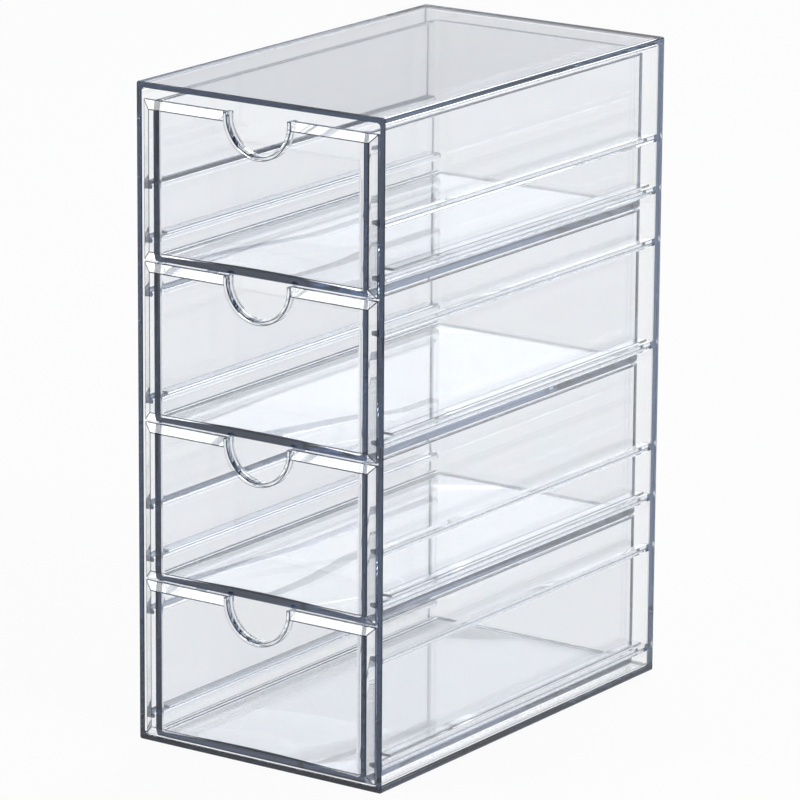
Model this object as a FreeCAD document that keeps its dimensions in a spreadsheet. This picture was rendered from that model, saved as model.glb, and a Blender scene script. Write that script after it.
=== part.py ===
"""Clear desktop cabinet with four pull-out drawers, every piece one clear injection moulding.

Millimetres. +X is to the right of a person facing the drawers, +Y points to the back and +Z up.
The origin is the middle of the footprint of the whole object, at the level that it stands on.
"""
import FreeCAD, Part
import math
import os

import Sketcher

# ---------------------------------------------------------------- driving dimensions
SIZES = (
    ("overall_width", 109.0, "cabinet, outside, left to right"),
    ("overall_depth", 183.5, "lip of the drawers' notches to the cabinet's back"),
    ("overall_height", 248.0, "cabinet, outside, underside to top"),
    ("shell_wall", 2.2, "thickness of the cabinet's five walls"),
    ("shell_inner_radius", 1.4, "rounding inside the cabinet's long corners"),
    ("shell_outer_radius", 0.8, "rounding outside the cabinet's long corners"),
    ("base_clearance", 0.4, "cabinet floor to the bottom drawer"),
    ("head_clearance", 4.0, "top drawer to the cabinet's top wall"),
    ("drawer_gap", 0.8, "one drawer's top to the next drawer's underside"),
    ("front_side_gap", 0.8, "drawer front to the cabinet's side wall, each side"),
    ("front_thickness", 2.7, "drawer front, face to back"),
    ("bevel_width", 3.3, "sloped border round the drawer front, seen from the front"),
    ("bevel_depth", 1.5, "how far that border falls back"),
    ("stop_gap", 0.3, "back of the drawer front to the rail ends that stop it"),
    ("tub_wall", 2.2, "side and rear walls of a drawer"),
    ("tub_floor", 2.2, "floor of a drawer"),
    ("tub_inner_radius", 1.5, "rounding inside a drawer, along its floor and corners"),
    ("tub_outer_radius", 1.2, "rounding under a drawer, along its outer edges"),
    ("tub_corner_radius", 3.0, "upright outer corners at the rear of a drawer"),
    ("rear_clearance", 1.2, "rear of a drawer to the cabinet's back wall"),
    ("rail_width", 4.4, "how far a rail stands in from the side wall"),
    ("rail_root", 2.8, "height of a rail where it meets the wall"),
    ("rail_tip", 1.6, "height of a rail along its free edge"),
    ("rail_lift", 7.2, "underside of a drawer to the middle of the rail that carries it"),
    ("rail_setback", 1.8, "cabinet rim to the front ends of the rails"),
    ("rail_side_gap", 0.8, "free edge of a rail to the drawer's side wall"),
    ("runner_lift", 0.3, "rail to the runner that slides on it"),
    ("runner_wall_gap", 0.6, "free edge of a runner to the cabinet's side wall"),
    ("runner_thickness", 1.0, "height of a runner"),
    ("runner_start", 8.0, "cabinet rim to the front ends of the runners"),
    ("notch_radius", 13.3, "finger notch, round part"),
    ("notch_straight", 1.2, "upright sides of the notch, above its round part"),
    ("collar_width", 1.6, "lip round the notch, across"),
    ("collar_lift", 0.3, "how far the lip stands out from the drawer front"),
    ("collar_depth", 4.5, "lip round the notch, face to back"),
)

# Drawers from the bottom up. They are four copies of one moulding.
DRAWERS = ("bottom_drawer", "lower_drawer", "upper_drawer", "top_drawer")

# Three rail places to each drawer, so that the same cabinet also takes drawers two places high.
PLACES_PER_DRAWER = 3
SPARE_PLACES = (2, 4)
SPARE_REPEAT_IN_DRAWERS = 2

# ---------------------------------------------------------------- lengths worked out from them
HALF_WIDTH = "sizes.overall_width / 2"
HALF_DEPTH = "sizes.overall_depth / 2"
INNER_HALF = f"({HALF_WIDTH} - sizes.shell_wall)"
PITCH = (
    "((sizes.overall_height - 2 * sizes.shell_wall - sizes.base_clearance"
    f" - sizes.head_clearance + sizes.drawer_gap) / {len(DRAWERS)})"
)
PLACE = f"({PITCH} / {PLACES_PER_DRAWER})"
FIRST_DRAWER = "(sizes.shell_wall + sizes.base_clearance)"
DRAWER_HEIGHT = f"({PITCH} - sizes.drawer_gap)"
FRONT_FACE = f"({HALF_DEPTH} - sizes.collar_lift)"
FRONT_EDGE = f"({FRONT_FACE} - sizes.bevel_depth)"
FRONT_BACK = f"({FRONT_FACE} - sizes.front_thickness)"
RIM = f"({FRONT_BACK} - sizes.stop_gap + sizes.rail_setback)"
FRONT_HALF = f"({INNER_HALF} - sizes.front_side_gap)"
RAIL_INNER = f"({INNER_HALF} - sizes.rail_width)"
TUB_HALF = f"({RAIL_INNER} - sizes.rail_side_gap)"
TUB_REAR = f"({HALF_DEPTH} - sizes.shell_wall - sizes.rear_clearance)"
TUB_HALF_INSIDE = f"({TUB_HALF} - sizes.tub_wall)"
TUB_REAR_INSIDE = f"({TUB_REAR} - sizes.tub_wall)"
RUNNER_OUTER = f"({INNER_HALF} - sizes.runner_wall_gap)"
RUNNER_UNDER = "(sizes.rail_lift + sizes.rail_root / 2 + sizes.runner_lift)"
RUNNER_TOP = f"({RUNNER_UNDER} + sizes.runner_thickness)"
NOTCH_CENTRE = f"({DRAWER_HEIGHT} - sizes.notch_straight)"
TOUCH = "0.5"   # how far one feature is run into the solid that it grows from
SAME = 0.001    # lengths closer than this count as one

# Where a sketch's corners start, before their expressions put them in place.
ROUGH_MIDDLE = FreeCAD.Vector(20, 20, 0)
ROUGH_REACH = 10.0
ROUGH_NOTCH_REACH = 14.0
ROUGH_NOTCH_MIDDLE = 58.0
ROUGH_NOTCH_TOP = 60.0


def make_sheet(doc):
    """Put the driving dimensions in the sheet, one to a row, with their names as aliases."""
    sheet = doc.addObject("Spreadsheet::Sheet", "sizes")
    for row, (alias, size, meaning) in enumerate(SIZES, start=1):
        sheet.set(f"A{row}", meaning)
        sheet.set(f"B{row}", str(size))
        sheet.setAlias(f"B{row}", alias)
    return sheet


def origin_item(body, role):
    """One of the body's own origin planes or axes."""
    return next(item for item in body.Origin.OriginFeatures if item.Role == role)


def new_sketch(body, name, role, offset):
    """A sketch on an origin plane of the body, moved along the plane's normal by an expression."""
    sketch = body.newObject("Sketcher::SketchObject", name)
    sketch.AttachmentSupport = [(origin_item(body, role), "")]
    sketch.MapMode = "FlatFace"
    sketch.setExpression("AttachmentOffset.Base.z", offset)
    return sketch


def pin_point(sketch, geometry, end, label, across, up):
    """Hold one point of the sketch at two expressions, measured from the sketch's origin."""
    point = sketch.getPoint(geometry, end)
    for kind, tag, start, expression in (
        ("DistanceX", "across", point.x, across),
        ("DistanceY", "up", point.y, up),
    ):
        index = sketch.addConstraint(Sketcher.Constraint(kind, -1, 1, geometry, end, start))
        sketch.renameConstraint(index, f"{label}_{tag}")
        sketch.setExpression(f"Constraints.{label}_{tag}", expression)


def add_polygon(sketch, label, corners):
    """A closed outline with every corner held at its pair of expressions, given anticlockwise."""
    count = len(corners)
    ring = []
    for step in range(count):
        turn = 2 * math.pi * step / count
        aside = FreeCAD.Vector(math.cos(turn), math.sin(turn), 0)
        ring.append(ROUGH_MIDDLE + ROUGH_REACH * aside)
    lines = []
    for step in range(count):
        lines.append(sketch.addGeometry(Part.LineSegment(ring[step], ring[(step + 1) % count])))
    for step in range(count):
        after = lines[(step + 1) % count]
        sketch.addConstraint(Sketcher.Constraint("Coincident", lines[step], 2, after, 1))
    for step, (across, up) in enumerate(corners):
        pin_point(sketch, lines[step], 1, f"{label}{step}", across, up)


def add_rectangle(sketch, label, left, low, right, high):
    """A rectangle between four expressions."""
    add_polygon(sketch, label, ((left, low), (right, low), (right, high), (left, high)))


def add_both_sides(sketch, label, corners):
    """An outline on the right, and its mirror image on the left."""
    add_polygon(sketch, f"{label}_right", corners)
    mirrored = [(f"-({across})", up) for across, up in reversed(corners)]
    add_polygon(sketch, f"{label}_left", mirrored)


def add_notch_outline(sketch, label, radius, top):
    """A half round with straight sides that run up to a given height."""
    reach, lid_height = ROUGH_NOTCH_REACH, ROUGH_NOTCH_TOP
    middle = FreeCAD.Vector(0, ROUGH_NOTCH_MIDDLE, 0)
    circle = Part.Circle(middle, FreeCAD.Vector(0, 0, 1), reach)
    arc = sketch.addGeometry(Part.ArcOfCircle(circle, math.pi, 2 * math.pi))
    ring = (
        FreeCAD.Vector(reach, middle.y, 0),
        FreeCAD.Vector(reach, lid_height, 0),
        FreeCAD.Vector(-reach, lid_height, 0),
        FreeCAD.Vector(-reach, middle.y, 0),
    )
    right = sketch.addGeometry(Part.LineSegment(ring[0], ring[1]))
    lid = sketch.addGeometry(Part.LineSegment(ring[1], ring[2]))
    left = sketch.addGeometry(Part.LineSegment(ring[2], ring[3]))
    for before, after in ((arc, right), (right, lid), (lid, left), (left, arc)):
        sketch.addConstraint(Sketcher.Constraint("Coincident", before, 2, after, 1))
    pin_point(sketch, arc, 1, f"{label}_start", f"-({radius})", NOTCH_CENTRE)
    pin_point(sketch, arc, 2, f"{label}_end", radius, NOTCH_CENTRE)
    pin_point(sketch, lid, 1, f"{label}_high_right", radius, top)
    pin_point(sketch, lid, 2, f"{label}_high_left", f"-({radius})", top)
    height = sketch.addConstraint(Sketcher.Constraint("DistanceY", -1, 1, arc, 3, middle.y))
    sketch.renameConstraint(height, f"{label}_height")
    sketch.setExpression(f"Constraints.{label}_height", NOTCH_CENTRE)


def grow(body, name, sketch, length, reverse=False):
    """Pad a sketch by an expression."""
    pad = body.newObject("PartDesign::Pad", name)
    pad.Profile = sketch
    pad.Reversed = reverse
    pad.setExpression("Length", length)
    sketch.Visibility = False
    return pad


def cut(body, name, sketch, length):
    """Pocket a sketch by an expression."""
    pocket = body.newObject("PartDesign::Pocket", name)
    pocket.Profile = sketch
    pocket.setExpression("Length", length)
    sketch.Visibility = False
    return pocket


def straight_edges(feature, wanted):
    """Names of the feature's straight edges whose two ends pass a test."""
    names = []
    for number, edge in enumerate(feature.Shape.Edges, start=1):
        if len(edge.Vertexes) == 2 and wanted(edge.Vertexes[0].Point, edge.Vertexes[1].Point):
            names.append(f"Edge{number}")
    return names


def round_edges(body, name, wanted, radius):
    """Fillet the straight edges that pass a test, by an expression."""
    body.Document.recompute()
    base = body.Tip
    fillet = body.newObject("PartDesign::Fillet", name)
    fillet.Base = (base, straight_edges(base, wanted))
    fillet.setExpression("Radius", radius)


def near(one, other):
    """Whether two lengths are the same."""
    return abs(one - other) < SAME


def both_at(one, other, axis, place):
    """Whether both ends of an edge lie at one place along an axis."""
    return near(getattr(one, axis), place) and near(getattr(other, axis), place)


def upright(one, other):
    """Whether an edge runs along Z."""
    return near(one.x, other.x) and near(one.y, other.y)


def repeat_upwards(body, name, feature, spacing, count):
    """Copies of a feature up the body's Z axis, at a spacing given by an expression."""
    body.Document.recompute()
    pattern = body.newObject("PartDesign::LinearPattern", name)
    pattern.Originals = [feature]
    pattern.Direction = (origin_item(body, "Z_Axis"), [""])
    pattern.setExpression("Length", f"{spacing} * {count - 1}")
    pattern.Occurrences = count
    body.Tip = pattern


# ---------------------------------------------------------------- the cabinet
def rail_corners(place):
    """Outline of one right-hand rail, anticlockwise, at a place counted up from the lowest."""
    middle = f"({FIRST_DRAWER} + sizes.rail_lift + {place} * {PLACE})"
    root = f"({INNER_HALF} + {TOUCH})"
    return (
        (RAIL_INNER, f"{middle} - sizes.rail_tip / 2"),
        (INNER_HALF, f"{middle} - sizes.rail_root / 2"),
        (root, f"{middle} - sizes.rail_root / 2"),
        (root, f"{middle} + sizes.rail_root / 2"),
        (INNER_HALF, f"{middle} + sizes.rail_root / 2"),
        (RAIL_INNER, f"{middle} + sizes.rail_tip / 2"),
    )


def add_rails(body, name, places, spacing, count):
    """Rails on both side walls at some places, and their copies further up."""
    start = f"({RIM} - sizes.rail_setback)"
    outline = new_sketch(body, f"{name}_outline", "XZ_Plane", start)
    for number, place in enumerate(places):
        add_both_sides(outline, f"place{number}", rail_corners(place))
    length = f"{start} + {HALF_DEPTH} - sizes.shell_wall + {TOUCH}"
    rails = grow(body, name, outline, length, reverse=True)
    repeat_upwards(body, f"{name}_set", rails, spacing, count)


def make_cabinet(doc):
    """The case that the drawers run in: five walls and all the rails, in one moulding."""
    body = doc.addObject("PartDesign::Body", "cabinet_shell")
    sheet = doc.sizes

    depth = f"({RIM} + {HALF_DEPTH})"
    outline = new_sketch(body, "case_outline", "XZ_Plane", RIM)
    add_rectangle(outline, "case", f"-({HALF_WIDTH})", "0", HALF_WIDTH, "sizes.overall_height")
    grow(body, "case_block", outline, depth, reverse=True)

    def runs_back(one, other):
        return near(one.x, other.x) and near(one.z, other.z)

    round_edges(body, "case_outer_rounding", runs_back, "sizes.shell_outer_radius")

    opening = new_sketch(body, "case_opening", "XZ_Plane", RIM)
    ceiling = "sizes.overall_height - sizes.shell_wall"
    add_rectangle(opening, "bay", f"-{INNER_HALF}", "sizes.shell_wall", INNER_HALF, ceiling)
    cut(body, "case_hollow", opening, f"{depth} - sizes.shell_wall")

    inner_half = sheet.overall_width / 2 - sheet.shell_wall

    def runs_back_inside(one, other):
        return runs_back(one, other) and near(abs(one.x), inner_half)

    round_edges(body, "case_inner_rounding", runs_back_inside, "sizes.shell_inner_radius")

    add_rails(body, "carrying_rails", (0,), PITCH, len(DRAWERS))
    spare_spacing = f"{SPARE_REPEAT_IN_DRAWERS} * {PITCH}"
    add_rails(body, "spare_rails", SPARE_PLACES, spare_spacing, len(DRAWERS) // SPARE_REPEAT_IN_DRAWERS)
    return body


# ---------------------------------------------------------------- the drawers
def add_front(body, name):
    """The drawer front: a thin slab, and a face raised on it that slopes off on all four sides."""
    slab = new_sketch(body, f"{name}_front_outline", "XZ_Plane", FRONT_BACK)
    add_rectangle(slab, "slab", f"-{FRONT_HALF}", "0", FRONT_HALF, DRAWER_HEIGHT)
    grow(body, f"{name}_front_slab", slab, "sizes.front_thickness - sizes.bevel_depth")

    foot = new_sketch(body, f"{name}_bevel_foot", "XZ_Plane", FRONT_EDGE)
    add_rectangle(foot, "foot", f"-{FRONT_HALF}", "0", FRONT_HALF, DRAWER_HEIGHT)
    head = new_sketch(body, f"{name}_bevel_head", "XZ_Plane", FRONT_FACE)
    inset = f"({FRONT_HALF} - sizes.bevel_width)"
    top = f"{DRAWER_HEIGHT} - sizes.bevel_width"
    add_rectangle(head, "head", f"-{inset}", "sizes.bevel_width", inset, top)
    bevel = body.newObject("PartDesign::AdditiveLoft", f"{name}_front_face")
    bevel.Profile = foot
    bevel.Sections = [head]
    bevel.Ruled = True
    foot.Visibility = False
    head.Visibility = False


def add_tub(body, name):
    """The box behind the front, open at the top, with its floor, sides and rear rounded off."""
    sheet = body.Document.sizes
    inside_front = f"({FRONT_BACK} + (sizes.front_thickness - sizes.bevel_depth) / 2)"
    outline = new_sketch(body, f"{name}_tub_outline", "XY_Plane", "0")
    add_rectangle(outline, "tub", f"-{TUB_HALF}", f"-{inside_front}", TUB_HALF, TUB_REAR)
    grow(body, f"{name}_tub_block", outline, DRAWER_HEIGHT)

    half_inside_cabinet = sheet.overall_width / 2 - sheet.shell_wall
    tub_half = half_inside_cabinet - sheet.rail_width - sheet.rail_side_gap
    tub_rear = sheet.overall_depth / 2 - sheet.shell_wall - sheet.rear_clearance
    front_back = sheet.overall_depth / 2 - sheet.collar_lift - sheet.front_thickness

    def rear_corner(one, other):
        return upright(one, other) and near(one.y, tub_rear)

    round_edges(body, f"{name}_rear_corners", rear_corner, "sizes.tub_corner_radius")

    def under_rim(one, other):
        behind_front = max(one.y, other.y) > -front_back + SAME
        return behind_front and both_at(one, other, "z", 0)

    round_edges(body, f"{name}_underside", under_rim, "sizes.tub_outer_radius")

    inside = new_sketch(body, f"{name}_inside_outline", "XY_Plane", DRAWER_HEIGHT)
    add_rectangle(
        inside, "inside", f"-{TUB_HALF_INSIDE}", f"-{FRONT_BACK}", TUB_HALF_INSIDE, TUB_REAR_INSIDE,
    )
    cut(body, f"{name}_inside", inside, f"{DRAWER_HEIGHT} - sizes.tub_floor")

    inside_half = tub_half - sheet.tub_wall

    def inside_corner(one, other):
        return upright(one, other) and near(abs(one.x), inside_half)

    round_edges(body, f"{name}_inside_corners", inside_corner, "sizes.tub_inner_radius")

    def inside_floor(one, other):
        within = max(abs(one.x), abs(other.x)) < inside_half + SAME
        return within and both_at(one, other, "z", sheet.tub_floor)

    round_edges(body, f"{name}_inside_floor", inside_floor, "sizes.tub_inner_radius")


def add_notch(body, name):
    """The finger notch in the top of the front, and the deeper lip round it."""
    lip = new_sketch(body, f"{name}_lip_outline", "XZ_Plane", HALF_DEPTH)
    add_notch_outline(lip, "lip", "sizes.notch_radius + sizes.collar_width", DRAWER_HEIGHT)
    grow(body, f"{name}_notch_lip", lip, "sizes.collar_depth", reverse=True)
    notch = new_sketch(body, f"{name}_notch_outline", "XZ_Plane", HALF_DEPTH)
    add_notch_outline(notch, "notch", "sizes.notch_radius", f"{DRAWER_HEIGHT} + {TOUCH}")
    cut(body, f"{name}_notch", notch, f"sizes.collar_depth + {TOUCH}")


def add_runners(body, name):
    """The slim ledges along both sides of the tub that slide on the cabinet's rails."""
    start = f"({RIM} - sizes.runner_start)"
    outline = new_sketch(body, f"{name}_runner_outline", "XZ_Plane", start)
    root = f"({TUB_HALF} - {TOUCH})"
    corners = (
        (root, RUNNER_UNDER),
        (RUNNER_OUTER, RUNNER_UNDER),
        (RUNNER_OUTER, RUNNER_TOP),
        (root, RUNNER_TOP),
    )
    add_both_sides(outline, "runner", corners)
    length = f"{start} + {TUB_REAR} - sizes.tub_corner_radius"
    grow(body, f"{name}_runners", outline, length, reverse=True)


def make_drawer(doc, name, level):
    """One drawer, in one moulding, put at its level in the cabinet."""
    body = doc.addObject("PartDesign::Body", name)
    add_front(body, name)
    add_tub(body, name)
    add_notch(body, name)
    add_runners(body, name)
    body.setExpression("Placement.Base.z", f"{FIRST_DRAWER} + {level} * {PITCH}")
    return body


# ---------------------------------------------------------------- checks and files
def check_model(doc, bodies):
    """Stop at any failed feature, at a feature that changed nothing, and at a bad solid."""
    for item in doc.Objects:
        if "Invalid" in item.State or "Error" in item.State:
            raise RuntimeError(f"{item.Name} failed: {item.State}")
    for item in doc.Objects:
        base = getattr(item, "BaseFeature", None)
        if base is None:
            continue
        gained = item.Shape.Volume - base.Shape.Volume
        if item.TypeId == "PartDesign::Pocket" and gained >= 0:
            raise RuntimeError(f"{item.Name} cuts nothing")
        if item.TypeId == "PartDesign::Pad" and gained <= 0:
            raise RuntimeError(f"{item.Name} adds nothing")
    for body in bodies:
        shape = body.Shape
        if shape.isNull() or not shape.isValid() or len(shape.Solids) != 1:
            raise RuntimeError(f"{body.Label} isn't one valid solid")


def main():
    doc = FreeCAD.newDocument("drawer_cabinet")
    make_sheet(doc)
    doc.recompute()
    bodies = [make_cabinet(doc)]
    for level, name in enumerate(DRAWERS):
        bodies.append(make_drawer(doc, name, level))
    doc.recompute()
    check_model(doc, bodies)
    os.makedirs("parts", exist_ok=True)
    for body in bodies:
        body.Shape.exportStep(f"parts/{body.Label}.step")
        box = body.Shape.BoundBox
        print(
            f"{body.Label}: {box.XLength:.1f} x {box.YLength:.1f} x {box.ZLength:.1f} mm,"
            f" from z {box.ZMin:.1f}, {body.Shape.Volume / 1000:.1f} cm3"
        )


main()
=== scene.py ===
# %% [markdown]
# # A clear cabinet with four drawers
#
# The real thing is five polished mouldings in clear plastic: an open-fronted case with rails
# along its side walls, and four equal drawers that slide on them. Nothing on it is painted, so
# its looks come from three things only: true wall thicknesses, small roundings at every corner,
# and a material that bends light and takes a little colour from it on its way through. Here the
# narrow edge strips and the sides of the case's floor also get painted shade, a darkened plastic.
#
# The imported model is loaded first. It is the frame that every piece here is measured from.

# %% Load the imported model
import math

import bmesh
import bpy
from mathutils import Matrix, Vector


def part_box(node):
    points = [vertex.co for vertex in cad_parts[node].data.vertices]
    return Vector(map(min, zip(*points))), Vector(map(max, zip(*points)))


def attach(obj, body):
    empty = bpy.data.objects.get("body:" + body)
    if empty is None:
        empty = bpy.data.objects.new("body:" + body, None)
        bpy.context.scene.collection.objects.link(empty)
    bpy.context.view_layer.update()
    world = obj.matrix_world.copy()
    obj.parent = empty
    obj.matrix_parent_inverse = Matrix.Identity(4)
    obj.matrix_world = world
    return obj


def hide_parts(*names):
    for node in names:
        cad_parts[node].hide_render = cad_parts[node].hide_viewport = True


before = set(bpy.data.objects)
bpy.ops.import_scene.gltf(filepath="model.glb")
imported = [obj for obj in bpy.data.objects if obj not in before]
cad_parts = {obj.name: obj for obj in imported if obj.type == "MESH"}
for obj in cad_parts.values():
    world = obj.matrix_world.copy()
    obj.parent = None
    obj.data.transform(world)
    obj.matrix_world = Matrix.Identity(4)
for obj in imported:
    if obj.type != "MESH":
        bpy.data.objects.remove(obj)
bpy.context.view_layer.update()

# %% [markdown]
# ## Sizes
#
# A clear piece shows every wall twice: once as a face and once as a dark edge. Thicknesses and
# radii are therefore the values that matter most. They are in metres and named here or in the
# cell that first needs them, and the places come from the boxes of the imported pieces.

# %% Sizes that several pieces share
MM = 0.001

CASE_LOW, CASE_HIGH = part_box("cabinet_shell")
DRAWERS = ("bottom_drawer", "lower_drawer", "upper_drawer", "top_drawer")
FIRST_LOW, FIRST_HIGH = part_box(DRAWERS[0])
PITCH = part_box(DRAWERS[1])[0].z - FIRST_LOW.z

WALL = 2.2 * MM                 # case walls, tub walls and tub floor
INNER_HALF = CASE_HIGH.x - WALL
SOFT_EDGE = 0.3 * MM            # what polishing leaves of a sharp edge
FINE_EDGE = 0.2 * MM            # and of the sharpest ones, on the drawers
TOUCH = 0.5 * MM                # how far a shape is run into the one that it is joined to
SAME = 0.01 * MM                # lengths closer than this count as one
print("drawer pitch", round(PITCH / MM, 2), "mm, inner width", round(2 * INNER_HALF / MM, 2), "mm")

# %% [markdown]
# ## Helpers for modelling
#
# Each shape starts as a cube or a cylinder put at its real place. Edges are picked by where they
# lie and rounded in edit mode. Shapes are joined or cut with an applied Boolean modifier, because
# light in a clear solid would show any face that is left inside it.

# %% Selecting
CREASE = math.radians(20)       # an edge that bends less than this isn't one to round


def only(piece):
    """Select one object alone and make it the active one."""
    bpy.ops.object.select_all(action="DESELECT")
    piece.select_set(True)
    bpy.context.view_layer.objects.active = piece


def same(one, other):
    """Whether two lengths are equal for all that matters here."""
    return abs(one - other) < SAME


def pick_edges(piece, wanted):
    """Go into edit mode with the creases whose two ends pass a test selected."""
    only(piece)
    bpy.ops.object.mode_set(mode="EDIT")
    bpy.ops.mesh.select_mode(type="EDGE")
    bpy.ops.mesh.select_all(action="DESELECT")
    mesh = bmesh.from_edit_mesh(piece.data)
    count = 0
    for edge in mesh.edges:
        crease = len(edge.link_faces) == 2 and edge.calc_face_angle() > CREASE
        if crease and wanted(edge.verts[0].co, edge.verts[1].co):
            edge.select_set(True)
            count += 1
    bmesh.update_edit_mesh(piece.data)
    return count


def pick_faces(piece, wanted):
    """Select the faces that pass a test, of a piece that is in edit mode."""
    bpy.ops.mesh.select_mode(type="FACE")
    bpy.ops.mesh.select_all(action="DESELECT")
    mesh = bmesh.from_edit_mesh(piece.data)
    for face in mesh.faces:
        face.select_set(wanted(face))
    bmesh.update_edit_mesh(piece.data)


# %% Shaping
def add_block(name, low, high):
    """A cube stretched between two corners, its place put into its mesh."""
    low, high = Vector(low), Vector(high)
    bpy.ops.object.select_all(action="DESELECT")
    bpy.ops.mesh.primitive_cube_add(size=1, location=(low + high) / 2)
    block = bpy.context.object
    block.name = name
    block.scale = high - low
    bpy.ops.object.transform_apply(location=True, rotation=True, scale=True)
    return block


def round_edges(piece, radius, segments, wanted):
    """Round the creases that pass a test."""
    count = pick_edges(piece, wanted)
    if count:
        bpy.ops.mesh.bevel(offset=radius, segments=segments, affect="EDGES", clamp_overlap=False)
    bpy.ops.object.mode_set(mode="OBJECT")
    print(f"  {piece.name}: {count} edges rounded to {radius / MM:.2f} mm")


def split(piece, place, direction):
    """Cut new edges all the way round a piece where a plane crosses it."""
    only(piece)
    bpy.ops.object.mode_set(mode="EDIT")
    bpy.ops.mesh.select_all(action="SELECT")
    bpy.ops.mesh.bisect(plane_co=place, plane_no=direction)
    bpy.ops.object.mode_set(mode="OBJECT")


def mirror_over(piece):
    """Turn a piece into its twin on the cabinet's other side, with its faces pointing outwards."""
    only(piece)
    bpy.ops.transform.mirror(constraint_axis=(True, False, False), center_override=(0, 0, 0))
    bpy.ops.object.transform_apply(location=True, rotation=True, scale=True)
    bpy.ops.object.mode_set(mode="EDIT")
    bpy.ops.mesh.select_all(action="SELECT")
    bpy.ops.mesh.normals_make_consistent(inside=False)
    bpy.ops.object.mode_set(mode="OBJECT")


# %% Joining and cutting
def boolean(piece, tool, operation):
    """Join a tool to a piece, or cut it away, and drop the tool."""
    modifier = piece.modifiers.new(operation.lower(), "BOOLEAN")
    modifier.operation = operation
    modifier.solver = "MANIFOLD"
    modifier.object = tool
    only(piece)
    bpy.ops.object.modifier_apply(modifier=modifier.name)
    bpy.data.objects.remove(tool)


def join(pieces):
    """Make one object of several that don't touch."""
    only(pieces[0])
    for piece in pieces[1:]:
        piece.select_set(True)
    bpy.ops.object.join()
    return bpy.context.object


# %% [markdown]
# A clear solid shows the smallest fault in its shading, because light is bent twice by each wall.
# Roundings are shaded smooth. The flat faces beside them are marked as the strong ones, so that
# the weighted normals leave them perfectly flat.

# %% Finishing a surface
SQUARE_ON = 0.9999              # a normal this close to an axis belongs to a flat face
BIG_FACE = 60 * MM * MM         # and a face larger than this is flat, whichever way it looks
SMOOTH_ANGLE = math.radians(35)


def is_flat(face):
    steepest = max(abs(face.normal.x), abs(face.normal.y), abs(face.normal.z))
    return steepest > SQUARE_ON or face.calc_area() > BIG_FACE


def finish_surface(piece):
    """Merge stray points, then shade roundings smooth and keep flat faces flat."""
    only(piece)
    bpy.ops.object.mode_set(mode="EDIT")
    bpy.ops.mesh.select_all(action="SELECT")
    bpy.ops.mesh.remove_doubles(threshold=SAME / 10)
    bpy.ops.mesh.normals_make_consistent(inside=False)
    pick_faces(piece, is_flat)
    bpy.ops.mesh.mod_weighted_strength(set=True, face_strength="STRONG")
    bpy.ops.object.mode_set(mode="OBJECT")
    bpy.ops.object.shade_smooth_by_angle(angle=SMOOTH_ANGLE)
    weights = piece.modifiers.new("flat_faces_first", "WEIGHTED_NORMAL")
    weights.keep_sharp = True
    weights.use_face_influence = True
    bpy.ops.object.modifier_apply(modifier=weights.name)


def measure(piece):
    """Print what tells whether a piece is one closed solid: open edges, folds and its volume."""
    mesh = bmesh.new()
    mesh.from_mesh(piece.data)
    open_edges = sum(1 for edge in mesh.edges if len(edge.link_faces) != 2)
    volume = mesh.calc_volume(signed=True)
    mesh.free()
    whole = sum(face.area for face in piece.data.polygons)
    piece.data.calc_loop_triangles()
    folded = sum(triangle.area for triangle in piece.data.loop_triangles) - whole
    print(
        f"{piece.name}: {len(piece.data.polygons)} faces, {open_edges} open edges,"
        f" {folded / MM ** 2:.2f} mm2 folded over, {volume * 1e6:.1f} cm3"
    )


# %% [markdown]
# ## The case
#
# The case is one block hollowed from the front. Its long outer corners have a small radius and
# its inner ones a larger one, which is what bends the thin bright line along every corner of a
# clear box.

# %% The case walls
CASE_OUTER_RADIUS = 0.8 * MM
CASE_INNER_RADIUS = 1.4 * MM


def runs_back(one, other):
    """Whether an edge runs straight from front to back."""
    return same(one.x, other.x) and same(one.z, other.z)


def on_inner_rim(one, other):
    """Whether an edge is one of the four inner ones of the case's open front."""
    if not (same(one.y, CASE_LOW.y) and same(other.y, CASE_LOW.y)):
        return False
    lowest, highest = min(one.z, other.z), max(one.z, other.z)
    within_width = max(abs(one.x), abs(other.x)) < INNER_HALF + SAME
    within_height = lowest > CASE_LOW.z + WALL - SAME and highest < CASE_HIGH.z - WALL + SAME
    return within_width and within_height


def make_case():
    """The hollow case, without its rails."""
    case = add_block("case", CASE_LOW, CASE_HIGH)
    round_edges(case, CASE_OUTER_RADIUS, 4, runs_back)
    for end in (CASE_LOW.y, CASE_HIGH.y):
        round_edges(case, SOFT_EDGE, 3, lambda one, other: same(one.y, end) and same(other.y, end))

    rear = CASE_HIGH.y - WALL
    hollow_low = (-INNER_HALF, CASE_LOW.y - WALL, CASE_LOW.z + WALL)
    hollow_high = (INNER_HALF, rear, CASE_HIGH.z - WALL)
    hollow = add_block("hollow", hollow_low, hollow_high)
    round_edges(
        hollow, CASE_INNER_RADIUS, 6,
        lambda one, other: runs_back(one, other) or (same(one.y, rear) and same(other.y, rear)),
    )
    boolean(case, hollow, "DIFFERENCE")
    round_edges(case, SOFT_EDGE, 3, on_inner_rim)
    return case


# %% [markdown]
# The rails are moulded on, so they are joined to the walls and not just laid there. They stand at
# places that are a third of a drawer apart. Every third place carries a drawer, and some of the
# others have a spare rail. One rail is a bar that narrows towards its free edge, made on the right
# and mirrored for the left.

# %% The rails
RAIL_WIDTH = 4.4 * MM
RAIL_ROOT = 2.8 * MM            # thickness at the wall
RAIL_TIP = 1.6 * MM             # thickness at the free edge
RAIL_ROUNDING = 0.5 * MM
RAIL_LIFT = 7.2 * MM            # from a drawer's underside to the middle of its rail
RAIL_SETBACK = 1.8 * MM         # from the case's rim to the rail's front end
PLACES_PER_DRAWER = 3
RAIL_PLACES = (0, 2, 3, 4, 6, 8, 9, 10)
RAIL_INNER = INNER_HALF - RAIL_WIDTH


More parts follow.
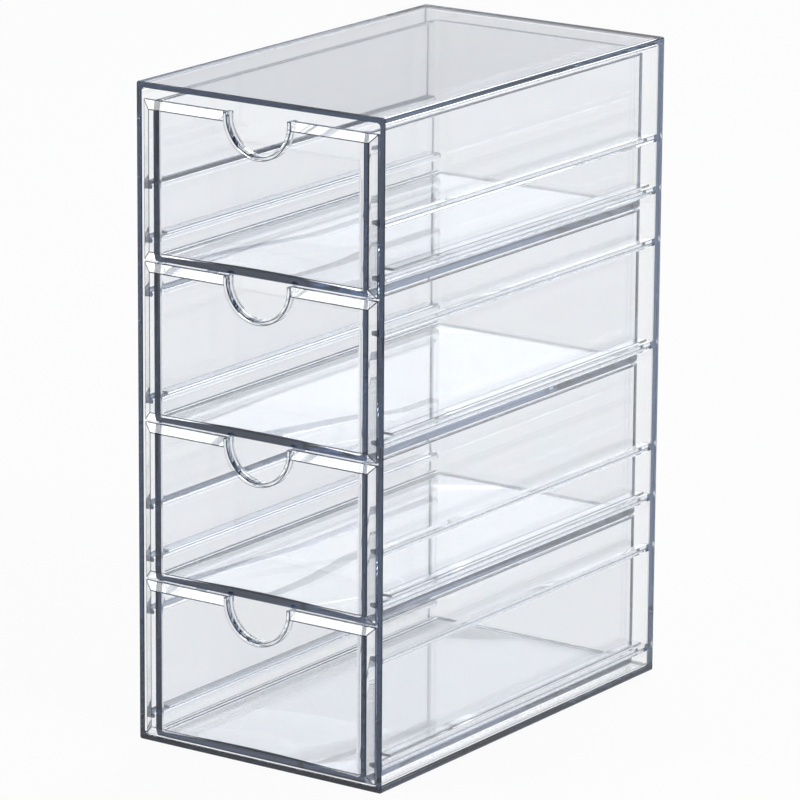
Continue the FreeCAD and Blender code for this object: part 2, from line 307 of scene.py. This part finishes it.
def rail_height(place):
    """The height of a rail's middle, by its place counted from the bottom drawer's own rail."""
    return FIRST_LOW.z + RAIL_LIFT + place * PITCH / PLACES_PER_DRAWER


def make_rail(side, middle):
    """One rail, with its free edge rounded."""
    slope = (RAIL_ROOT - RAIL_TIP) / 2 / RAIL_WIDTH
    root_half = RAIL_ROOT / 2 + TOUCH * slope
    low = (RAIL_INNER, CASE_LOW.y + RAIL_SETBACK, middle - root_half)
    high = (INNER_HALF + TOUCH, CASE_HIGH.y - WALL + TOUCH, middle + root_half)
    rail = add_block("rail", low, high)
    for corner in rail.data.vertices:
        if same(corner.co.x, RAIL_INNER):
            corner.co.z = middle + math.copysign(RAIL_TIP / 2, corner.co.z - middle)
    round_edges(
        rail, RAIL_ROUNDING, 4,
        lambda one, other: runs_back(one, other) and same(one.x, RAIL_INNER),
    )
    if side < 0:
        mirror_over(rail)
    return rail


# %% [markdown]
# The walls are then cut into bands, one between each two places, and down the middle. The shape
# stays the same. The cuts only stop the large faces, now full of holes for the rails, from being
# filled with long thin triangles. A last cut marks off the sides of the case's floor, which get
# painted shade further on, a darkened plastic for a dark bottom edge.

# %% Put the case together
LOWER_EDGE = 2.1 * MM           # height of the case's floor, seen edge on


def add_rails(case):
    """Join all the rails to the case and cut its walls into bands."""
    rails = []
    for place in RAIL_PLACES:
        for side in (-1, 1):
            rails.append(make_rail(side, rail_height(place)))
    boolean(case, join(rails), "UNION")
    for place in range(RAIL_PLACES[-1] + 1):
        split(case, (0, 0, rail_height(place + 0.5)), (0, 0, 1))
    split(case, (0, 0, 0), (1, 0, 0))
    split(case, (0, 0, CASE_LOW.z + LOWER_EDGE), (0, 0, 1))


case = make_case()
add_rails(case)
case.name = "clear_case"
finish_surface(case)
measure(case)

# %% [markdown]
# ## A drawer
#
# The front is a thin slab whose outer face is inset and pushed forward, which gives the sloped
# border with its mitred corners.

# %% The drawer's front
BASE = FIRST_LOW.z
TOP = FIRST_HIGH.z
FRONT_SIDE_GAP = 0.8 * MM
FRONT_SLAB = 1.2 * MM           # thickness of the front behind its sloped border
BEVEL_WIDTH = 3.3 * MM
BEVEL_DEPTH = 1.5 * MM
LIP_LIFT = 0.3 * MM             # the lip round the notch stands this much proud of the face
LIP_Y = FIRST_LOW.y
EDGE_Y = LIP_Y + LIP_LIFT + BEVEL_DEPTH
BACK_Y = EDGE_Y + FRONT_SLAB
FRONT_HALF = INNER_HALF - FRONT_SIDE_GAP
print("drawer front", round(2 * FRONT_HALF / MM, 2), "x", round((TOP - BASE) / MM, 2), "mm")


def make_front():
    """The slab and its raised face."""
    front = add_block("front", (-FRONT_HALF, EDGE_Y, BASE), (FRONT_HALF, BACK_Y, TOP))
    only(front)
    bpy.ops.object.mode_set(mode="EDIT")
    pick_faces(front, lambda face: face.normal.y < -0.9)
    bpy.ops.mesh.inset(thickness=BEVEL_WIDTH, depth=BEVEL_DEPTH)
    bpy.ops.object.mode_set(mode="OBJECT")
    round_edges(front, FINE_EDGE, 3, lambda one, other: True)
    return front


# %% [markdown]
# The tub behind the front is a rounded block, hollowed by another rounded block, so that its
# floor and corners are filleted inside and out.
#
# A real tub's floor is a little thicker just behind the front, most in the middle. Seen through
# the front, that curves the dark band at its foot. The underside of the hollowing block is cut
# into a grid and lifted there, and the lift fades out towards the sides and the rear.

# %% The tub
TUB_SIDE_GAP = 0.8 * MM
TUB_INNER_RADIUS = 1.5 * MM
TUB_OUTER_RADIUS = 1.2 * MM
TUB_CORNER_RADIUS = 3.0 * MM
TUB_REAR = FIRST_HIGH.y
TUB_HALF = RAIL_INNER - TUB_SIDE_GAP
TUB_FLOOR = BASE + WALL
FLOOR_SWELL = 1.3 * MM          # how much thicker the floor is in the middle of its front edge
SWELL_LENGTH = 60 * MM          # it is back to plain thickness this far behind the front
SWELL_COLUMNS = 5               # squares of the grid to each side of the middle
SWELL_ROWS = 6
print("tub width", round(2 * TUB_HALF / MM, 2), "mm")


def stands_upright(one, other):
    return same(one.x, other.x) and same(one.y, other.y)


def make_tub():
    """The block of the tub."""
    front_y = (EDGE_Y + BACK_Y) / 2
    tub = add_block("tub", (-TUB_HALF, front_y, BASE), (TUB_HALF, TUB_REAR, TOP))

    def outline_at(height):
        """A test for the edges at one height, except the one inside the drawer's front."""
        def wanted(one, other):
            level = same(one.z, height) and same(other.z, height)
            return level and not (same(one.y, front_y) and same(other.y, front_y))
        return wanted

    round_edges(
        tub, TUB_CORNER_RADIUS, 8,
        lambda one, other: stands_upright(one, other) and same(one.y, TUB_REAR),
    )
    round_edges(tub, TUB_OUTER_RADIUS, 5, outline_at(BASE))
    round_edges(tub, FINE_EDGE, 3, outline_at(TOP))
    return tub


def on_inner_crease(one, other):
    """Whether an edge is one of the tub's inner corners, apart from the one at the front."""
    low = same(one.z, TUB_FLOOR) and same(other.z, TUB_FLOOR)
    in_front = same(one.y, BACK_Y) and same(other.y, BACK_Y)
    return stands_upright(one, other) or (low and not in_front)


def make_inside():
    """The block that hollows the tub, with the swell of the floor in its underside."""
    inside_low = (-TUB_HALF + WALL, BACK_Y, TUB_FLOOR)
    inside_high = (TUB_HALF - WALL, TUB_REAR - WALL, TOP + WALL)
    inside = add_block("inside", inside_low, inside_high)
    round_edges(inside, TUB_INNER_RADIUS, 6, on_inner_crease)
    half = TUB_HALF - WALL
    for part in range(1 - SWELL_COLUMNS, SWELL_COLUMNS):
        split(inside, (part / SWELL_COLUMNS * half, 0, 0), (1, 0, 0))
    for part in range(1, SWELL_ROWS + 1):
        split(inside, (0, BACK_Y + part / SWELL_ROWS * SWELL_LENGTH, 0), (0, 1, 0))
    for corner in inside.data.vertices:
        back = (corner.co.y - BACK_Y) / SWELL_LENGTH
        if corner.co.z < TUB_FLOOR + TUB_INNER_RADIUS + SAME and back < 1:
            corner.co.z += FLOOR_SWELL * (1 - (corner.co.x / half) ** 2) * (1 - back) ** 2
    return inside


# %% [markdown]
# The finger notch is a half round cut out of the front, with a deeper lip round it. The same
# shape is made twice, once for the lip and once for the hole: a cylinder cut off level with its
# middle, whose flat top is then pulled straight up.

# %% The notch
NOTCH_RADIUS = 13.3 * MM
NOTCH_STRAIGHT = 1.2 * MM       # height of the straight sides above the half round
NOTCH_SIDES = 128               # sides of the whole cylinder
NOTCH_MIDDLE = TOP - NOTCH_STRAIGHT
LIP_WIDTH = 1.6 * MM
LIP_DEPTH = 4.5 * MM


def make_trough(name, radius, front_y, back_y, top):
    """A solid half round with straight sides above it."""
    bpy.ops.object.select_all(action="DESELECT")
    bpy.ops.mesh.primitive_cylinder_add(
        vertices=NOTCH_SIDES, radius=radius, depth=back_y - front_y,
        location=(0, (front_y + back_y) / 2, NOTCH_MIDDLE), rotation=(math.pi / 2, 0, 0),
    )
    trough = bpy.context.object
    trough.name = name
    bpy.ops.object.transform_apply(location=True, rotation=True, scale=True)
    bpy.ops.object.mode_set(mode="EDIT")
    bpy.ops.mesh.select_all(action="SELECT")
    bpy.ops.mesh.bisect(
        plane_co=(0, 0, NOTCH_MIDDLE), plane_no=(0, 0, 1), use_fill=True, clear_outer=True,
    )

    def is_flat_top(face):
        return face.normal.z > 0.99 and same(face.calc_center_median().z, NOTCH_MIDDLE)

    pick_faces(trough, is_flat_top)
    bpy.ops.mesh.extrude_region_move(TRANSFORM_OT_translate={"value": (0, 0, top - NOTCH_MIDDLE)})
    bpy.ops.object.mode_set(mode="OBJECT")
    return trough


def is_curve(one, other, place, radius):
    """Whether an edge lies along the notch's outline, at one place from front to back."""
    for point in (one, other):
        if point.z < NOTCH_MIDDLE:
            across = math.hypot(point.x, point.z - NOTCH_MIDDLE)
        else:
            across = abs(point.x)
        if not same(point.y, place) or abs(across - radius) > 2 * SAME:
            return False
    return True


# %% [markdown]
# A drawer doesn't slide on the underside of its tub. A thin ledge along each side of the tub, the
# runner, lies just above a rail, and light caught in it draws a second line above each rail.

# %% The runners
RUNNER_WALL_GAP = 0.6 * MM
RUNNER_START = 8.0 * MM         # behind the case's rim
RUNNER_LIFT = 0.3 * MM          # above the rail
RUNNER_THICKNESS = 1.0 * MM


def make_runner(side):
    """The ledge along one side of the tub."""
    outer = INNER_HALF - RUNNER_WALL_GAP
    under = BASE + RAIL_LIFT + RAIL_ROOT / 2 + RUNNER_LIFT
    low = (TUB_HALF - TOUCH, CASE_LOW.y + RUNNER_START, under)
    high = (outer, TUB_REAR - TUB_CORNER_RADIUS, under + RUNNER_THICKNESS)
    runner = add_block("runner", low, high)
    round_edges(
        runner, FINE_EDGE, 3,
        lambda one, other: same(one.x, outer) and same(other.x, outer),
    )
    if side < 0:
        mirror_over(runner)
    return runner


# %% [markdown]
# The drawer is one moulding, so its parts become one solid: the tub is joined to the front and
# hollowed, then comes the lip, then the notch is cut through the front and the lip together. The
# other three drawers are copies, each with a mesh of its own, because all four are the same.

# %% Put the drawer together
TUB_RIM_RADIUS = 1.0 * MM
RIM_START = BACK_Y + 2 * TUB_INNER_RADIUS       # where the tub's rim begins, behind the front


def on_tub_rim(one, other):
    """Whether an edge is an inner one of the tub's rim, along its sides and its rear."""
    level = same(one.z, TOP) and same(other.z, TOP)
    behind = min(one.y, other.y) > RIM_START - SAME
    before = max(one.y, other.y) < TUB_REAR - WALL + SAME
    within = max(abs(one.x), abs(other.x)) < TUB_HALF - WALL + SAME
    return level and behind and before and within


def make_drawer():
    """One whole drawer, at the bottom drawer's place."""
    drawer = make_front()
    boolean(drawer, make_tub(), "UNION")
    boolean(drawer, make_inside(), "DIFFERENCE")
    split(drawer, (0, RIM_START, 0), (0, 1, 0))
    round_edges(drawer, TUB_RIM_RADIUS, 5, on_tub_rim)

    lip_radius = NOTCH_RADIUS + LIP_WIDTH
    lip_back = LIP_Y + LIP_DEPTH
    lip = make_trough("lip", lip_radius, LIP_Y, lip_back, TOP)
    for end in (LIP_Y, lip_back):
        round_edges(lip, SOFT_EDGE, 3, lambda one, other: is_curve(one, other, end, lip_radius))
    boolean(drawer, lip, "UNION")
    notch = make_trough("notch", NOTCH_RADIUS, LIP_Y - TOUCH, lip_back + TOUCH, TOP + TOUCH)
    boolean(drawer, notch, "DIFFERENCE")
    for end in (LIP_Y, lip_back):
        round_edges(
            drawer, SOFT_EDGE, 3,
            lambda one, other: is_curve(one, other, end, NOTCH_RADIUS),
        )
    boolean(drawer, join([make_runner(-1), make_runner(1)]), "UNION")
    return drawer


first_drawer = make_drawer()
first_drawer.name = "clear_bottom_drawer"
finish_surface(first_drawer)
measure(first_drawer)

# %% The other three drawers
drawers = [first_drawer]
for level, name in enumerate(DRAWERS[1:], start=1):
    only(first_drawer)
    bpy.ops.object.duplicate(linked=False)
    copy = bpy.context.object
    copy.name = f"clear_{name}"
    bpy.ops.transform.translate(value=(0, 0, level * PITCH))
    bpy.ops.object.transform_apply(location=True, rotation=True, scale=True)
    drawers.append(copy)
print("drawers:", [drawer.name for drawer in drawers])

# %% [markdown]
# ## Clear plastic
#
# A clear moulding is almost colourless face on and dark blue edge on, because light that is
# caught inside a wall travels the whole depth of the cabinet before it gets out. The volume of
# the material takes a little light from every millimetre of that way, so one material gives both.
#
# The nodes are added by a small helper. A wire stands for an output, and sums with wires add the
# maths nodes themselves.

# %% Shader helpers
class Wire:
    """An output socket that takes part in arithmetic."""

    def __init__(self, shader, socket):
        self.shader = shader
        self.socket = socket

    def __add__(self, other):
        return self.shader.maths("ADD", self, other)

    def __mul__(self, other):
        return self.shader.maths("MULTIPLY", self, other)

    def __sub__(self, other):
        return self.shader.maths("SUBTRACT", self, other)

    def __rsub__(self, other):
        return self.shader.maths("SUBTRACT", other, self)

    __radd__ = __add__
    __rmul__ = __mul__


class Shader:
    """A node tree, emptied, with one method that adds nodes to it."""

    def __init__(self, tree):
        tree.nodes.clear()
        self.tree = tree

    def node(self, kind, settings, sockets, output=0):
        """Add a node: its settings first, then the values or wires of its sockets."""
        made = self.tree.nodes.new(kind)
        for name, value in settings.items():
            if name == "stops":
                ramp = made.color_ramp
                while len(ramp.elements) < len(value):
                    ramp.elements.new(0.5)
                for element, (position, colour) in zip(ramp.elements, value):
                    element.position = position
                    element.color = colour
            else:
                setattr(made, name, value)
        for name, value in sockets.items():
            if isinstance(value, Wire):
                self.tree.links.new(value.socket, made.inputs[name])
            else:
                made.inputs[name].default_value = value
        return Wire(self, made.outputs[output]) if made.outputs else None

    def maths(self, operation, first, second):
        return self.node("ShaderNodeMath", {"operation": operation}, {0: first, 1: second})


# %% [markdown]
# Melted plastic flows as it fills a mould and sets in slow waves, far too low to measure, that
# wobble what is seen through a wall. A bump on wide noise gives them. A second noise, through a
# ramp of five near-whites, gives the faint tinges that show in thin clear walls.

# %% The plastic
REFRACTION = 1.57
ABSORPTION = (16.0, 13.6, 10.4)      # what each metre takes of red, green and blue
HEADROOM = 1.25                      # the volume's density, against the most that it takes
WAVE_HEIGHT = 0.02 * MM
CLOUD_SIZE = 22 * MM
TINGES = (
    (0.30, (0.984, 1.0, 1.0)), (0.42, (0.993, 0.996, 1.0)), (0.50, (1.0, 0.991, 1.0)),
    (0.58, (0.992, 0.999, 1.0)), (0.68, (1.0, 1.0, 0.991)),
)


def make_plastic(name, wave_size, brightness=1.0):
    """Clear plastic with slow waves. Brightness is the share of light that its surface lets in, and
    below 1 it paints shade into the colour.
    """
    material = bpy.data.materials.new(name)
    material.use_nodes = True
    shader = Shader(material.node_tree)
    object_place = shader.node("ShaderNodeTexCoord", {}, {}, "Object")
    slow = shader.node(
        "ShaderNodeTexNoise", {},
        {"Vector": object_place, "Scale": 1 / wave_size, "Detail": 1.0, "Roughness": 0.4},
    )
    bump = shader.node(
        "ShaderNodeBump", {}, {"Strength": 1.0, "Distance": WAVE_HEIGHT, "Height": slow},
    )
    cloud = shader.node(
        "ShaderNodeTexNoise", {},
        {"Vector": object_place, "Scale": 1 / CLOUD_SIZE, "Detail": 2.0, "Distortion": 1.2},
    )
    stops = [(place, (*(brightness * part for part in colour), 1)) for place, colour in TINGES]
    tinge = shader.node("ShaderNodeValToRGB", {"stops": stops}, {"Fac": cloud})
    surface = shader.node(
        "ShaderNodeBsdfPrincipled", {},
        {
            "Base Color": tinge, "Roughness": 0.0, "IOR": REFRACTION,
            "Transmission Weight": 1.0, "Normal": bump,
        },
    )
    density = max(ABSORPTION) * HEADROOM
    tint = [1 - amount / density for amount in ABSORPTION]
    volume = shader.node(
        "ShaderNodeVolumeAbsorption", {}, {"Color": (*tint, 1.0), "Density": density},
    )
    shader.node("ShaderNodeOutputMaterial", {}, {"Surface": surface, "Volume": volume})
    return material


case_plastic = make_plastic("clear_case_plastic", 45 * MM)
drawer_plastic = make_plastic("clear_drawer_plastic", 38 * MM)
# The same plastic with its colour darkened to 0.3: painted shade for dark edges.
shaded_edge_plastic = make_plastic("painted_edge_shade_plastic", 38 * MM, brightness=0.3)
print("a metre of plastic lets through", [f"{math.exp(-amount):.1e}" for amount in ABSORPTION])

# %% [markdown]
# The narrow roundings of sharp edges look darker than the faces, because much of the light that
# leaves there has come the long way through a wall. That darkness is painted here as shade: the
# strips that the bevels made are found by their width and get a plastic with a darkened colour,
# which lets less light through, and so do the sides of the case's floor, for a painted dark bottom
# edge.

# %% Faces and edges
EDGE_STRIP = 0.2 * MM           # faces narrower than this belong to a sharp edge's rounding
UPRIGHT = 0.5                   # a face whose normal rises less than this stands upright


def paint_edge_shade(piece, darkened_plastic, low_edge):
    """Paint shade on the strips of sharp edges, and on upright faces below a height, with a
    darkened plastic.
    """
    piece.data.materials.append(darkened_plastic)
    points = piece.data.vertices
    painted_dark_faces = 0
    # Narrow edge strips and low upright sides of the case's floor get the darkened plastic, which
    # is painted shade.
    for face in piece.data.polygons:
        longest = max((points[start].co - points[end].co).length for start, end in face.edge_keys)
        narrow = face.area / longest < EDGE_STRIP
        low = face.center.z < low_edge and abs(face.normal.z) < UPRIGHT
        if narrow or low:
            face.material_index = 1
            painted_dark_faces += 1
    print(f"{piece.name}: {painted_dark_faces} faces have the finish of edges")


# Every piece gets clear plastic, and painted shade on its edge strips.
for piece, plastic in ((case, case_plastic), *((drawer, drawer_plastic) for drawer in drawers)):
    piece.data.materials.clear()
    piece.data.materials.append(plastic)
    paint_edge_shade(piece, shaded_edge_plastic, CASE_LOW.z + LOWER_EDGE)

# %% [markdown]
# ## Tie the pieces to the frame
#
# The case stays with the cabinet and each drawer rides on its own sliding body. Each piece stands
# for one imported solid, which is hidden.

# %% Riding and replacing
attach(case, "cabinet")
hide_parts("cabinet_shell")
for drawer, name in zip(drawers, DRAWERS):
    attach(drawer, name)
    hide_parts(name)

# %% [markdown]
# ## Floor, studio and camera
#
# A clear object shows what stands round it, so the studio matters as much as the plastic. The
# floor is pale paint that a camera, and what it sees through the plastic or mirrored in it, finds
# almost white. A little of the paint is left in the mix, so that the shadow shows.

# %% The floor
FLOOR_GAP = 0.2 * MM
FLOOR_GLOW = 0.94               # share of plain white where the floor is seen
bpy.ops.object.select_all(action="DESELECT")
bpy.ops.mesh.primitive_plane_add(size=40, location=(0, 0, CASE_LOW.z - FLOOR_GAP))
floor = bpy.context.object
floor.name = "pale_floor"
floor_material = bpy.data.materials.new("pale_floor")
floor_material.use_nodes = True
shader = Shader(floor_material.node_tree)
path = shader.tree.nodes.new("ShaderNodeLightPath")
seen = Wire(shader, path.outputs["Is Camera Ray"]) + Wire(shader, path.outputs["Is Glossy Ray"])
seen = shader.maths("MINIMUM", seen + Wire(shader, path.outputs["Is Transmission Ray"]), 1.0)
paint = shader.node("ShaderNodeBsdfDiffuse", {}, {"Color": (0.9, 0.9, 0.9, 1)})
glow = shader.node("ShaderNodeEmission", {}, {"Color": (1, 1, 1, 1), "Strength": 1.0})
mixed = shader.node("ShaderNodeMixShader", {}, {0: seen * FLOOR_GLOW, 1: paint, 2: glow})
shader.node("ShaderNodeOutputMaterial", {}, {"Surface": mixed})
floor.data.materials.append(floor_material)
print("floor at", round(floor.location.z / MM, 2), "mm")

# %% [markdown]
# The studio round the floor is a dome, white near the horizon and dark overhead, and darker on
# the side where the camera stands. Edges and rims mirror its dark parts, which draws them against
# the white. The camera itself sees plain white.

# %% The studio
DOME = (
    (0.1, (1, 1, 1, 1)), (0.19, (0.6, 0.61, 0.64, 1)),
    (0.3, (0.3, 0.32, 0.36, 1)), (1.0, (0.08, 0.09, 0.11, 1)),
)
ROOM = (
    (0.0, (1, 1, 1, 1)), (0.15, (1, 1, 1, 1)),
    (0.7, (0.5, 0.5, 0.52, 1)), (1.0, (0.4, 0.4, 0.42, 1)),
)
TO_THE_RIGHT, TO_THE_FRONT = 0.57, 0.82     # the dark side's direction, seen from above

world = bpy.data.worlds.new("studio")
bpy.context.scene.world = world
world.use_nodes = True
shader = Shader(world.node_tree)
path = shader.tree.nodes.new("ShaderNodeLightPath")
direction = shader.node("ShaderNodeTexCoord", {}, {}, "Generated")
parts = shader.tree.nodes.new("ShaderNodeSeparateXYZ")
shader.tree.links.new(direction.socket, parts.inputs[0])
height = Wire(shader, parts.outputs["Z"])
dome = shader.node("ShaderNodeValToRGB", {"stops": DOME}, {"Fac": height})
across, inwards = Wire(shader, parts.outputs["X"]), Wire(shader, parts.outputs["Y"])
forward = across * TO_THE_RIGHT - inwards * TO_THE_FRONT
room = shader.node("ShaderNodeValToRGB", {"stops": ROOM}, {"Fac": forward})
dome = shader.node(
    "ShaderNodeMix", {"data_type": "RGBA", "blend_type": "MULTIPLY"}, {0: 1.0, 6: dome, 7: room}, 2,
)
camera_ray = Wire(shader, path.outputs["Is Camera Ray"])
sky = shader.node(
    "ShaderNodeMix", {"data_type": "RGBA"}, {0: camera_ray, 6: dome, 7: (1, 1, 1, 1)}, 2,
)
background = shader.node("ShaderNodeBackground", {}, {"Color": sky, "Strength": 1.0})
shader.node("ShaderNodeOutputWorld", {}, {"Surface": background})
print("studio nodes:", len(world.node_tree.nodes))


# %% [markdown]
# Three large soft lamps light the cabinet from the left, the right and the rear. They cast its
# shadow on the floor and add shine to the sloped borders of the drawers' fronts.
#
# A drawer's floor is seen at a shallow angle, so it mirrors what is behind the cabinet, a little
# above the horizon. A dim strip lamp stands there for each drawer. It shines down towards the
# cabinet through a narrow angle, so that only its image in the floors is seen.

# %% Lamps
def add_lamp(name, place, size, power, target=(CASE_LOW + CASE_HIGH) / 2):
    """A soft lamp, as wide and high as its size says, that points at the cabinet or a target."""
    data = bpy.data.lights.new(name, "AREA")
    data.shape = "RECTANGLE"
    data.size, data.size_y = size
    data.energy = power
    lamp = bpy.data.objects.new(name, data)
    lamp.location = place
    lamp.rotation_mode = "QUATERNION"
    lamp.rotation_quaternion = (Vector(target) - Vector(place)).to_track_quat("-Z", "Y")
    bpy.context.scene.collection.objects.link(lamp)
    print(f"{name}: {power} W")
    return lamp


add_lamp("left_softbox", (-0.99, -1.47, 1.03), (0.6, 0.6), 9)
add_lamp("right_softbox", (1.5, -0.2, 1.3), (0.8, 0.8), 14)
add_lamp("back_softbox", (-0.3, 1.4, 1.6), (1.0, 1.0), 14)

# %% Strips for the drawers' floors
STRIP_X, STRIP_Y, STRIP_LOW = -0.19, 0.275, 0.113       # the middle of the lowest strip
STRIP_WIDTH, STRIP_RISE = 0.5, 0.05                     # each strip begins where the last one ends
STRIP_AIM = Vector((0.19, -0.275, -0.071))
STRIP_SPREAD = math.radians(40)
STRIP_POWERS = (0.0035, 0.0052, 0.0052, 0.0034)         # watts, from the bottom drawer's strip up
for row, power in enumerate(STRIP_POWERS):
    place = Vector((STRIP_X, STRIP_Y, STRIP_LOW + STRIP_RISE * row))
    size = (STRIP_WIDTH, STRIP_RISE)
    strip = add_lamp(f"floor_strip_{row + 1}", place, size, power, place + STRIP_AIM)
    strip.data.spread = STRIP_SPREAD
    strip.visible_camera = False

# %% [markdown]
# The camera stands well back with a long lens, a little to the right of the front and a little
# above it. Its place is worked out from those angles, and its matrix is built from three square
# directions.

# %% The camera
PICTURE = 800                   # width and height of the picture
LENS_IN_PIXELS = 5615.4
SENSOR_WIDTH = 36
AZIMUTH, ELEVATION, ROLL = 34.767, 14.901, 0.391        # degrees
CASE_HEIGHT = CASE_HIGH.z - CASE_LOW.z
DISTANCE = 8.419 * CASE_HEIGHT
ACROSS = -0.0054 * CASE_HEIGHT
UP = -0.0214 * CASE_HEIGHT


def place_camera():
    """Aim the camera by its angles round the cabinet."""
    turn, rise = math.radians(AZIMUTH), math.radians(ELEVATION)
    flat = math.cos(rise)
    back = Vector((math.sin(turn) * flat, -math.cos(turn) * flat, math.sin(rise)))
    level = (-back).cross(Vector((0, 0, 1))).normalized()
    upward = level.cross(-back)
    tilt = math.radians(ROLL)
    right = math.cos(tilt) * level + math.sin(tilt) * upward
    over = -math.sin(tilt) * level + math.cos(tilt) * upward
    data = bpy.data.cameras.new("camera")
    data.sensor_width = SENSOR_WIDTH
    data.lens = LENS_IN_PIXELS / PICTURE * data.sensor_width
    data.clip_start, data.clip_end = 0.05, 100
    camera = bpy.data.objects.new("camera", data)
    bpy.context.scene.collection.objects.link(camera)
    centre = (CASE_LOW + CASE_HIGH) / 2
    eye = centre + back * DISTANCE + right * ACROSS + over * UP
    turned = Matrix((right, over, back)).transposed().to_4x4()
    camera.matrix_world = Matrix.Translation(eye) @ turned
    bpy.context.scene.camera = camera
    print(f"camera: {data.lens:.1f} mm lens, {DISTANCE:.2f} m away")


place_camera()

# %% [markdown]
# Light crosses many walls on its way through a clear cabinet and can bounce many times inside one
# of them, so it is followed much further than usual. Cut short, it would leave black patches.

# %% How far light is followed
scene = bpy.context.scene
scene.view_settings.view_transform = "Standard"
scene.cycles.max_bounces = 72
scene.cycles.transmission_bounces = 40
scene.cycles.glossy_bounces = 64
scene.cycles.diffuse_bounces = 3
scene.cycles.transparent_max_bounces = 16
